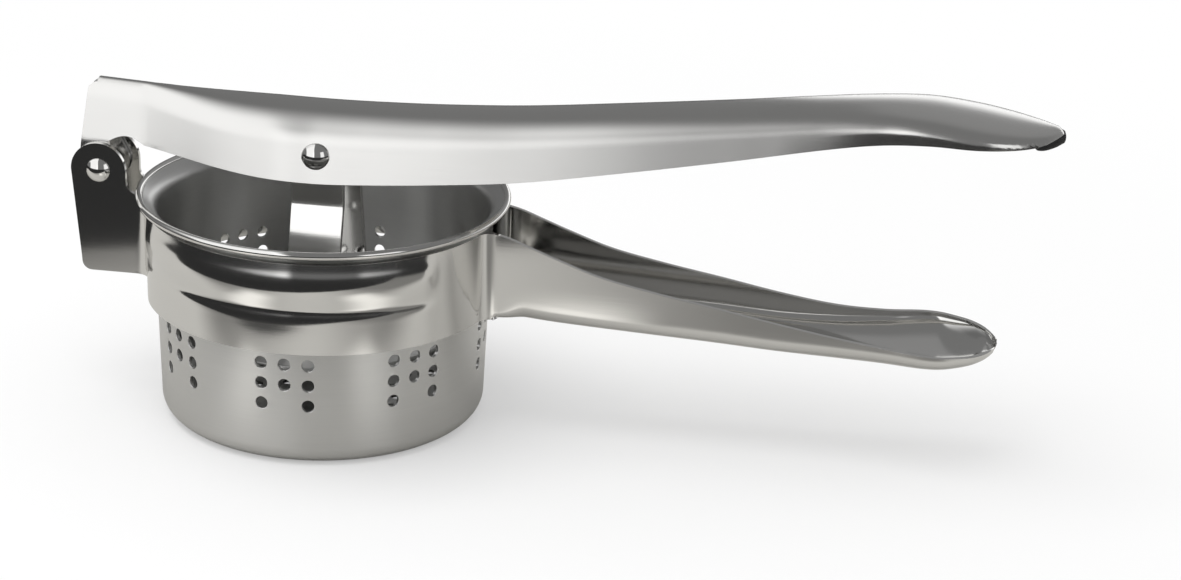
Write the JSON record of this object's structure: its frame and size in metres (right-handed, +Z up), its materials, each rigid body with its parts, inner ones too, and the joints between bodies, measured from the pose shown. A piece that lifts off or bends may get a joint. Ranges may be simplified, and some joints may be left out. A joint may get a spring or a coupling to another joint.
{
  "type": "potato ricer",
  "caption": "Stainless steel lever press for mashing boiled potatoes: a perforated basket in a long-handled frame, with a hinged lever that swings a pressing plate.",
  "frame": {"origin": "centre of the basket's flat base, on the surface that the press stands on", "axes": "+Z up along the basket's axis, +X along both handles towards their tips, -Y the side that faces the picture"},
  "size_m": [0.2398, 0.092, 0.0904],
  "materials": {
    "polished_steel": "polished",
    "brushed_steel": "brushed",
    "edge_guard": "matte"
  },
  "bodies": {
    "frame": {"lower_frame": "polished_steel", "hinge_pin": "polished_steel"},
    "lever": {"upper_lever": "polished_steel", "plunger_pin": "polished_steel", "tip_guard": "edge_guard"},
    "plunger": {"plunger_yoke": "polished_steel", "press_plate": "brushed_steel"},
    "cup": {"basket": "brushed_steel"}
  },
  "joints": [
    {"name": "lever_hinge", "type": "hinge", "parent": "frame", "child": "lever", "pos_m": [-0.0555, 0, 0.05854], "axis": [0, -1, 0], "range_deg": [-5, 90]},
    {"name": "plunger_swing", "type": "hinge", "parent": "lever", "child": "plunger", "pos_m": [0.0006, 0, 0.0685], "axis": [0, -1, 0], "range_deg": [-36, 2]},
    {"name": "basket_turn", "type": "hinge", "parent": "frame", "child": "cup", "pos_m": [0, 0, 0.0413], "axis": [0, 0, 1], "continuous": true}
  ],
  "couplings": [
    {"joint": "plunger_swing", "follows": "lever_hinge", "ratio": -0.4}
  ]
}
